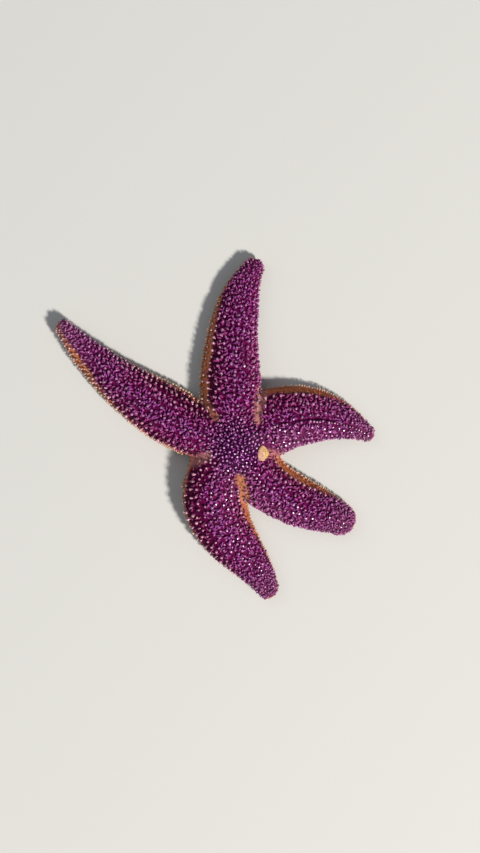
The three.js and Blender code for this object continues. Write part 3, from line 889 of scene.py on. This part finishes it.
def add_fingers(coat, places, lengths, radii, tints, root_tints, lie):
    """Adds soft curved papulae, which rise from the skin and lie over along it. lie is the angle
    from the skin's normal that each reaches at its end, in radians."""
    n = len(lengths)
    normal = field.outwards(places.points)
    spin = rng.uniform(0, 2 * np.pi, n)[:, None]
    one, two = aside_of(normal, np.array([0.2, 0.9, 0.3]))
    over = np.cos(spin) * one + np.sin(spin) * two
    beside = np.cross(normal, over)
    steps = FINGER_STEPS[None, :]
    reach = lengths[:, None]
    slope = lie[:, None] - FINGER_RISE
    angle = FINGER_RISE + slope * steps
    climb = reach * (np.sin(angle) - np.sin(FINGER_RISE)) / slope
    forward = reach * (np.cos(FINGER_RISE) - np.cos(angle)) / slope
    wriggle = reach * rng.normal(0, 0.16, (n, 1)) * np.sin(1.3 * np.pi * steps)
    lines = (places.points[:, None] + climb[..., None] * normal[:, None]
             + forward[..., None] * over[:, None] + wriggle[..., None] * beside[:, None])
    tangent = unit(np.gradient(lines, axis=1))[:, :-1]
    first, second = aside_of(tangent, beside[:, None])
    ring_radii = (radii[:, None] * FINGER_WIDTHS)[:, :, None]
    tint = mix(root_tints[:, None], tints[:, None], FINGER_SHADES)
    coat.add(lines, ring_radii, first, second, tint, places.unwrap())


# ---- materials


def set_inputs(node, values):
    for name, value in values.items():
        node.inputs[name].default_value = value


FILM_ROUGHNESS = 0.25
HEAD_FILM = 1.65  # refractive index of the film on the blunt heads, which throws bright glints


def tinted(name, roughness, gloss, specular, grain_size, grain_depth, bump_size, bump_height):
    """A wet, living finish: the Tint of each point, mottled by noise, over a fine bump, under
    a clear film as strong as gloss."""
    material = bpy.data.materials.new(name)
    material.use_nodes = True
    nodes, links = material.node_tree.nodes, material.node_tree.links
    shader = nodes["Principled BSDF"]
    place = nodes.new("ShaderNodeTexCoord")
    tint = nodes.new("ShaderNodeVertexColor")
    tint.layer_name = "Tint"
    grain = nodes.new("ShaderNodeTexNoise")
    spread = nodes.new("ShaderNodeMapRange")
    shade = nodes.new("ShaderNodeMix")
    shade.data_type = "RGBA"
    shade.blend_type = "MULTIPLY"
    bump_noise = nodes.new("ShaderNodeTexNoise")
    bump = nodes.new("ShaderNodeBump")
    set_inputs(grain, {"Scale": 1 / (grain_size * MM), "Detail": 3.0})
    set_inputs(spread, {"From Min": 0.3, "From Max": 0.7,
                        "To Min": 1 - grain_depth, "To Max": 1 + grain_depth})
    set_inputs(shade, {"Factor": 1.0})
    set_inputs(bump_noise, {"Scale": 1 / (bump_size * MM), "Detail": 2.0})
    set_inputs(bump, {"Strength": 0.6, "Distance": bump_height * MM})
    set_inputs(shader, {"Roughness": roughness, "Specular IOR Level": specular,
                        "Coat Weight": gloss, "Coat Roughness": FILM_ROUGHNESS})
    for source, output, target, entry in (
            (place, "Object", grain, "Vector"), (place, "Object", bump_noise, "Vector"),
            (grain, "Fac", spread, "Value"), (tint, "Color", shade, "A"),
            (spread, "Result", shade, "B"), (shade, "Result", shader, "Base Color"),
            (bump_noise, "Fac", bump, "Height"), (bump, "Normal", shader, "Normal")):
        links.new(source.outputs[output], target.inputs[entry])
    return material


skin_finish = tinted("wet_skin", 0.8, 0.0, 0.05, 0.9, 0.4, 0.45, 0.2)
flesh_finish = tinted("wet_papulae", 0.5, 0.15, 0.08, 0.8, 0.25, 0.3, 0.02)
spine_finish = tinted("blunt_spines", 0.45, 1.0, 0.1, 0.5, 0.16, 0.25, 0.01)
pale_spine_finish = tinted("margin_spines", 0.5, 0.1, 0.2, 0.5, 0.2, 0.25, 0.05)
set_inputs(spine_finish.node_tree.nodes["Principled BSDF"], {"Coat IOR": HEAD_FILM})
plate_finish = tinted("sieve_plate", 0.55, 0.1, 0.4, 0.8, 0.14, 0.2, 0.04)
foot_finish = tinted("tube_feet", 0.35, 0.4, 0.4, 0.6, 0.12, 0.4, 0.05)
mouth_finish = tinted("mouth_membrane", 0.4, 0.4, 0.4, 0.8, 0.25, 0.4, 0.12)
eye_finish = tinted("eyespot", 0.3, 0.5, 0.5, 0.3, 0.2, 0.2, 0.04)

# ---- skin

field = Field()
net_points, net_quads = surface_net(field.values)
skin_points = field.onto_skin(field.low + net_points * STEP, rounds=2)
skin = mesh_object("skin", skin_points, net_quads, skin_colour(markings(Places(skin_points))))
finish_piece(skin, skin_finish)
flesh_nodes = ["disc"] + [
    f"arm_{arm['name']}_{part}" for arm in ARMS for part in ("inner", "outer", "tip", "groove")]
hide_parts(*flesh_nodes)


def node_centre(node):
    """The middle of a CAD node, in millimetres."""
    low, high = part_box(node)
    return (np.array(low) + np.array(high)) / 2 / MM


# ---- sieve plate

PLATE = dict(half_wide=2.4, half_long=3.4, height=0.85, tilt=30.0)
PLATE_MOVE = np.array([-0.6, 0.4, 0.0])  # from the middle of the CAD's plate
# The plate's yellow on the side taken as sunlit and pink on the other: a painted gradient of light.
PLATE_TINT = np.array([0.550, 0.340, 0.120])
PLATE_PINK = np.array([0.530, 0.290, 0.190])
PLATE_GROOVES = 15

plate_centre = field.onto_skin((node_centre("madreporite") + PLATE_MOVE)[None])[0]
plate_bearing = math.atan2(plate_centre[1] - DISC_CENTRE[1], plate_centre[0] - DISC_CENTRE[0])
plate_tilt = math.radians(PLATE["tilt"])
plate_up = np.array([math.sin(plate_tilt) * math.cos(plate_bearing),
                     math.sin(plate_tilt) * math.sin(plate_bearing), math.cos(plate_tilt)])
plate_along = np.array([-math.sin(plate_bearing), math.cos(plate_bearing), 0.0])
plate_across = np.cross(plate_along, plate_up)


def plate_grooves(r, turn):
    """How deep in a groove each place of the plate lies, from 0 to 1: the grooves wander out
    from its middle and part in two on the way."""
    bent = turn + 0.16 * np.sin(5 * turn + 8 * r) + 0.10 * np.sin(11 * turn - 12 * r)
    few = np.abs(np.cos(PLATE_GROOVES * bent / 2)) ** 3
    many = np.abs(np.cos(PLATE_GROOVES * bent)) ** 3
    apart = smoothstep(0.50, 0.62, r)
    depth = few * (1 - apart) + many * apart
    return depth * smoothstep(0.08, 0.3, r) * (1 - smoothstep(0.93, 1.0, r))


# Painted light and shade: the plate yellower towards its sunlit side and darker in its grooves.
def plate_colour(r, turn):
    painted_sunlit_side = smoothstep(-0.9, 0.9, np.sin(turn) * r + np.cos(turn) * r)
    return mix(PLATE_PINK, PLATE_TINT, painted_sunlit_side) * (1 - 0.5 * plate_grooves(r, turn))[:, None]


plate = button("madreporite_plate", plate_centre, plate_across, plate_along, plate_up,
               (PLATE["half_wide"], PLATE["half_long"], PLATE["height"]),
               lambda r, turn: -0.22 * plate_grooves(r, turn), plate_colour,
               rings=40, segments=180)
finish_piece(plate, plate_finish)
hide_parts("madreporite")


def on_plate(points, room):
    """True for points on the sieve plate or within room of it."""
    offset = points - plate_centre
    across = offset @ plate_across / (PLATE["half_wide"] + room)
    lengthways = offset @ plate_along / (PLATE["half_long"] + room)
    return (across**2 + lengthways**2 < 1) & (np.abs(offset @ plate_up) < 4)


# ---- eyespots

EYESPOT = dict(radius=0.62, proud=0.15)
EYE_TINT = np.array([0.50, 0.025, 0.015])

for arm in ARMS:
    spot = field.onto_skin(node_centre(f"arm_{arm['name']}_eyespot")[None])
    out = field.outwards(spot)[0]
    beside, upright = aside_of(out, np.array([0.0, 0.0, 1.0]))
    radius = EYESPOT["radius"]
    eye = button(f"eyespot_{arm['name']}", spot[0] + out * EYESPOT["proud"], beside, upright, out,
                 (radius, radius, radius * 0.7),
                 lambda r, turn: 0.08 * np.sin(6 * turn + 5 * r) * r,
                 lambda r, turn: EYE_TINT * (1.15 - 0.5 * r)[:, None], rings=10, segments=24)
    finish_piece(eye, eye_finish)
    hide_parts(f"arm_{arm['name']}_eyespot")

# ---- spines and papulae of the back

SPINE_GAP = 2.2
DISC_SPINE_GAP = 1.45
FINGER_GAP = 1.02
THIN_FINGERS = 0.9  # how much further apart the papulae of the thin flanks stand
TIP_SIZE = 0.3  # how much smaller and closer the small shapes are at the arms' tips
FINGER_ROOM = 0.95  # between a papula's root and a spine's
LARGE_KNOBS = 0.35  # the knobs marking from which a margin has few large ones, not many small
DISC_REACH = 13.0  # within this of the disc's middle, spines and papulae stand closer
PLATE_ROOM = 0.7  # kept free round the sieve plate
POOL = 230000  # places on the skin, from which those of the small shapes are picked

pool = Places(triangle_samples(skin_points, net_quads, POOL))
pool_marks = markings(pool)
above = pool.points[:, 2] > pool.margin - 0.2
clear = above & ~on_plate(pool.points, PLATE_ROOM)


def tip_taper(places):
    """How much smaller or closer the small shapes are towards the arms' tips, as a factor."""
    return 1 - TIP_SIZE * smoothstep(0.6, 1.0, places.u)


def on_smooth_band(places):
    """True for points on the bands of those flanks whose margins have only small knobs."""
    marks = markings(places)
    return (marks["band"] > 0.4) & (marks["knobs"] < LARGE_KNOBS)


rows = [
    row_places(1.9, 90, start=9.0, sides=(1,), round_tip=0.0),
    row_places(1.3, 89, start=15.0, sides=(1,), round_tip=0.0),
    row_places(2.4, 52, start=15.0, round_tip=0.4),
    row_places(2.4, 34, start=16.2, round_tip=0.6),
    row_places(2.2, 15, start=17.0, round_tip=0.7),
]
rows = [row.take(~on_plate(row.points, PLATE_ROOM) & ~in_seam(row, 0.35)) for row in rows]
rows[0] = rows[0].take(rows[0].arm != SEAM_ARM)
rows[1] = rows[1].take(rows[1].arm == SEAM_ARM)
rows[3:] = [row.take(~on_smooth_band(row)) for row in rows[3:]]
row_roots = np.concatenate([row.points for row in rows])

wanted = clear & (pool.sweep > 58) & (pool_marks["cleft"] < 0.3) & ~in_seam(pool, 0.5)
back = pool.take(wanted)
gaps = np.where(back.radius < DISC_REACH, DISC_SPINE_GAP, SPINE_GAP)
gaps = gaps * tip_taper(back) * rng.uniform(0.9, 1.1, len(gaps))
scattered = back.take(keep_apart(back.points, gaps, row_roots, 1.7))

spine_roots = np.concatenate([row_roots, scattered.points])
luck = rng.random(len(pool.u))
bare = (pool_marks["cleft"] > 0.4) | (pool_marks["band"] > 0.5)
soft = clear & ~in_seam(pool, 0.5) & (~bare | (luck < 0.01))
finger_gaps = FINGER_GAP * (1 + THIN_FINGERS * pool_marks["thin_and_shaded"][soft])
soft = pool.take(soft)
finger_gaps *= (1 - 0.12 * (soft.radius < DISC_REACH)) * rng.uniform(0.85, 1.1, len(soft.u))
finger_gaps *= tip_taper(soft)
fingers = soft.take(keep_apart(soft.points, finger_gaps, spine_roots, FINGER_ROOM))

spine_sets = [
    (scattered, 1.10, 0.45, BLUNT),
    (rows[0], 1.15, 0.46, BLUNT),
    (rows[1], 1.10, 0.43, BLUNT),
    (rows[2], 1.15, 0.50, BLUNT),
    (rows[3], 1.15, 0.52, STUBBY),
    (rows[4], 1.00, 0.47, STUBBY),
]
for number, arm in enumerate(ARMS):
    coat = Coat(sides=9)
    for places, length, radius, profile in spine_sets:
        own = places.take(places.arm == number)
        if len(own.u) == 0:
            continue
        marks = markings(own)
        size = rng.uniform(0.75, 1.2, len(own.u)) * tip_taper(own)
        size *= 1 - 0.22 * marks["middle"]
        shade = rng.uniform(0.5, 1.25, (len(own.u), 1))
        add_spines(coat, own, lean_out(own, 0.12, 0.0, 0.0, 0.14), length * size, radius * size,
                   profile, flesh_colour(marks) * 0.6, head_colour(marks) * shade, lobes=0.16)
    coat.finish(f"spines_{arm['name']}", spine_finish)

    own = fingers.take(fingers.arm == number)
    marks = markings(own)
    n = len(own.u)
    coat = Coat(sides=7)
    short = 1 - 0.45 * np.maximum(marks["band"], marks["cleft"]) - 0.3 * marks["middle"]
    short *= np.where(in_seam(own, 1.1), 0.5, 1.0)
    short = (short - 0.2 * marks["thin_and_shaded"]) * tip_taper(own)
    tints = flesh_colour(marks) * rng.uniform(0.6, 1.35, (n, 1))
    lengths = rng.uniform(1.2, 2.3, n) * short
    radii = rng.uniform(0.27, 0.38, n) * short**0.5
    add_fingers(coat, own, lengths, radii, tints, skin_colour(marks), rng.uniform(1.6, 2.2, n))
    coat.finish(f"papulae_{arm['name']}", flesh_finish)

# ---- margins and belly

fringe_sets = []
for pitch, length, radius, large in ((1.25, 1.05, 0.42, True), (0.80, 1.10, 0.33, False)):
    for sweep, down in ((2.0, 0.05), (-22.0, 0.45)):
        row = row_places(pitch, sweep, start=17.0, wander=0.2, round_tip=0.8)
        row = row.take((flank_table(row, "knobs") > LARGE_KNOBS) == large)
        fringe_sets.append((row, length, radius, 0.1, 0.5, down, KNOB))
lowest_row = row_places(1.7, -52.0, start=17.0, wander=0.2, round_tip=0.8)
fringe_sets.append((lowest_row, 1.20, 0.30, 0.1, 0.3, 0.6, SLENDER))


def furrow_row(pitch, beyond, start=8.0, end=0.97):
    """Roots on the belly along both edges of every furrow, this far beyond the edge."""
    roots = []
    for arm in ARMS:
        s = np.arange(start, arm["length"] * end, pitch)
        s = s + rng.uniform(-0.1, 0.1, len(s)) * pitch
        size = arm_sizes(arm, s)
        for side in (1, -1):
            left = side * (furrow_half(size["u"]) + beyond)
            roots.append(arm_points(arm, s, left, 0 * s, size["sole"] + 0.1))
    return Places(field.onto_skin(np.concatenate(roots), rounds=6))


fringe_sets.append((furrow_row(0.95, 0.25), 1.35, 0.19, 0.05, -0.25, 0.9, SLENDER))
fringe_sets.append((furrow_row(1.10, 0.95), 1.45, 0.21, 0.05, 0.25, 0.9, SLENDER))

rim = pool.points[:, 2] < pool.margin - 1.0
edge = furrow_half(pool.u) + 1.5
on_belly = pool.take(rim & (np.abs(pool.left) > edge) & (pool.radius > 8))
fringe_roots = np.concatenate([entry[0].points for entry in fringe_sets])
belly_gaps = rng.uniform(1.3, 1.7, len(on_belly.u))
belly = on_belly.take(keep_apart(on_belly.points, belly_gaps, fringe_roots, 1.0))
fringe_sets.append((belly, 1.1, 0.24, 0.1, 0.35, 0.6, SLENDER))

LOWEST = 0.25  # how far the spines of the belly stay above the ground

for number, arm in enumerate(ARMS):
    coat = Coat(sides=7)
    for places, length, radius, forward, outward, down, profile in fringe_sets:
        own = places.take(places.arm == number)
        n = len(own.u)
        if n == 0:
            continue
        marks = markings(own)
        size = rng.uniform(0.75, 1.15, n) * tip_taper(own)
        pale = np.maximum(marks["rich"], marks["belly"])
        size *= 0.85 + 0.45 * np.maximum(marks["knobs"], 0.5 * marks["belly"])
        towards = lean_out(own, forward, outward, down, 0.12)
        deepest = (own.points[:, 2] - LOWEST) / np.maximum(-towards[:, 2], 1e-3)
        lengths = np.where(towards[:, 2] < 0, np.minimum(length * size, deepest), length * size)
        shade = rng.uniform(0.8, 1.15, (n, 1))
        add_spines(coat, own, towards, lengths, radius * size, profile, flesh_colour(marks),
                   mix(head_colour(marks), FRINGE, pale) * shade)
    coat.finish(f"fringe_{arm['name']}", pale_spine_finish)

# ---- tube feet

FOOT = dict(pitch=1.75, first=8.0, last=0.95, lanes=(0.26, 0.72), stalk=0.30, sucker=0.50)
FOOT_TINT = np.array([0.640, 0.430, 0.200])
SUCKER_TINT = np.array([0.760, 0.610, 0.380])
FOOT_STEPS = np.array([0.0, 0.2, 0.5, 0.78, 0.90, 0.95, 0.99, 0.975])
FOOT_WIDTHS = np.array([1.1, 1.05, 1.0, 0.9, 0.85, 1.5, 1.6])
FOOT_RING = np.array([[[[1.0, 0.0, 0.0]]], [[[0.0, -1.0, 0.0]]]])  # directions across each ring
FLOOR_GAP = 0.02

for arm in ARMS:
    coat = Coat(sides=8)
    for lane, share in enumerate(FOOT["lanes"]):
        for side in (1, -1):
            shift = FOOT["pitch"] * (0.5 * lane)
            s = np.arange(FOOT["first"] + shift, arm["length"] * FOOT["last"], FOOT["pitch"])
            n = len(s)
            s = s + rng.uniform(-0.12, 0.12, n) * FOOT["pitch"]
            size = arm_sizes(arm, s)
            left = side * share * furrow_half(size["u"])
            top = arm_points(arm, s, left * 0.85, 0 * s, furrow_roof(size) - 0.2)
            foot = arm_points(arm, s + rng.uniform(-0.3, 0.3, n), left, 0 * s, FLOOR_GAP)
            steps = FOOT_STEPS[None, :, None]
            lines = top[:, None] * (1 - steps) + foot[:, None] * steps
            sag = np.sin(np.pi * np.minimum(FOOT_STEPS / 0.9, 1))[None, :, None]
            lines[:, :, :2] += rng.normal(0, 0.16, (n, 1, 2)) * sag
            slim = 1 - 0.35 * s / arm["length"]
            radii = (FOOT["stalk"] * slim[:, None] * FOOT_WIDTHS)[:, :, None]
            tint = mix(FOOT_TINT, SUCKER_TINT, smoothstep(0.6, 0.95, FOOT_STEPS))
            tint = tint * rng.uniform(0.85, 1.1, (n, 1, 1))
            coat.add(lines, radii, *FOOT_RING, tint, Places(foot).unwrap())
    coat.finish(f"tube_feet_{arm['name']}", foot_finish)

# ---- mouth

MEMBRANE = dict(radius=6.1, z=4.2, height=0.5)
MEMBRANE_TINT = np.array([0.520, 0.250, 0.140])
# Near-black painted shade of the mouth's opening, in the dip in the middle of the membrane.
THROAT_SHADE = np.array([0.060, 0.012, 0.010])


def membrane_relief(r, turn):
    """Folds that run out from the mouth, which is a dip in the middle."""
    folds = 0.25 * np.sin(30 * turn) * smoothstep(0.15, 0.4, r) * (1 - smoothstep(0.6, 0.9, r))
    return folds - 1.6 * (1 - smoothstep(0.05, 0.3, r)) + 0.5 * smoothstep(0.2, 0.35, r) * (1 - r)


# Painted shade: the middle of the membrane near-black where the mouth opens.
def membrane_colour(r, turn):
    return mix(THROAT_SHADE, MEMBRANE_TINT, smoothstep(0.08, 0.3, r))


mouth = button("mouth_membrane", np.array([*DISC_CENTRE, MEMBRANE["z"]]),
               np.array([1.0, 0, 0]), np.array([0, 1.0, 0]), np.array([0, 0, -1.0]),
               (MEMBRANE["radius"], MEMBRANE["radius"], MEMBRANE["height"]),
               membrane_relief, membrane_colour, rings=30, segments=120)
finish_piece(mouth, mouth_finish)
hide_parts("mouth")

ORAL = dict(out=6.2, z=2.6, length=2.3, radius=0.24)
ORAL_TINT = np.array([0.640, 0.440, 0.270])

coat = Coat(sides=8)
jaws, inward = [], []
for cleft in CLEFTS:
    bearing = math.degrees(math.atan2(cleft["end"][1], cleft["end"][0]))
    for aside, out, drop in ((-14, 0.2, 0.3), (-7, -0.4, 0.1), (7, -0.4, 0.1), (14, 0.2, 0.3),
                             (-4, 0.9, 0.5), (4, 0.9, 0.5)):
        turn = math.radians(bearing + aside)
        way = np.array([math.cos(turn), math.sin(turn), 0.0])
        jaws.append(np.array([*DISC_CENTRE, ORAL["z"]]) + way * (ORAL["out"] + out))
        inward.append(-way + np.array([0, 0, -drop]))
jaws = Places(np.array(jaws))
inward = unit(np.array(inward) + rng.normal(0, 0.06, (len(inward), 3)))
n = len(inward)
add_spines(coat, jaws, inward, np.full(n, ORAL["length"]) * rng.uniform(0.85, 1.1, n),
           np.full(n, ORAL["radius"]), SLENDER, np.tile(BELLY, (n, 1)), np.tile(ORAL_TINT, (n, 1)))
coat.finish("mouth_spines", pale_spine_finish)

# ---- floor, light and camera

PHOTO = (480, 853)
PIXEL = 0.4  # millimetres of ground for each pixel
CAMERA_HEIGHT = 550.0
CAMERA_PLACE = (9.93, 0.64)
GROUND_PLANE = 3.0
FLOOR_SIZE = 9.0  # metres

camera_data = bpy.data.cameras.new("camera")
camera = linked("camera", camera_data)
camera.location = (CAMERA_PLACE[0] * MM, CAMERA_PLACE[1] * MM, CAMERA_HEIGHT * MM)
camera_data.sensor_fit = "VERTICAL"
half_tall = PHOTO[1] * PIXEL / 2
camera_data.angle = 2 * math.atan(half_tall / (CAMERA_HEIGHT - GROUND_PLANE))
camera_data.clip_start = 0.01
bpy.context.scene.camera = camera
bpy.context.scene.view_settings.view_transform = "Standard"

bpy.ops.mesh.primitive_plane_add(size=FLOOR_SIZE)
floor = bpy.context.object
floor.name = "floor"
floor_finish = bpy.data.materials.new("pale_floor")
floor_finish.use_nodes = True
set_inputs(floor_finish.node_tree.nodes["Principled BSDF"],
           {"Base Color": (0.50, 0.49, 0.47, 1), "Roughness": 0.85, "Specular IOR Level": 0.1})
floor.data.materials.append(floor_finish)

world = bpy.data.worlds.new("world")
bpy.context.scene.world = world
world.use_nodes = True
set_inputs(world.node_tree.nodes["Background"], {"Color": (0.82, 0.9, 1.0, 1), "Strength": 0.3})


def area_light(name, place, size, power, colour):
    light = bpy.data.lights.new(name, "AREA")
    light.size = size
    light.energy = power
    light.color = colour
    lamp = linked(name, light)
    lamp.location = place
    lamp.rotation_euler = mathutils.Vector([-x for x in place]).to_track_quat("-Z", "Y").to_euler()


area_light("key", (2.01, -1.785, 2.34), 0.40, 230, (1.0, 0.97, 0.92))
area_light("fill", (-2.7, 1.8, 3.3), 3.6, 34, (0.95, 0.97, 1.0))
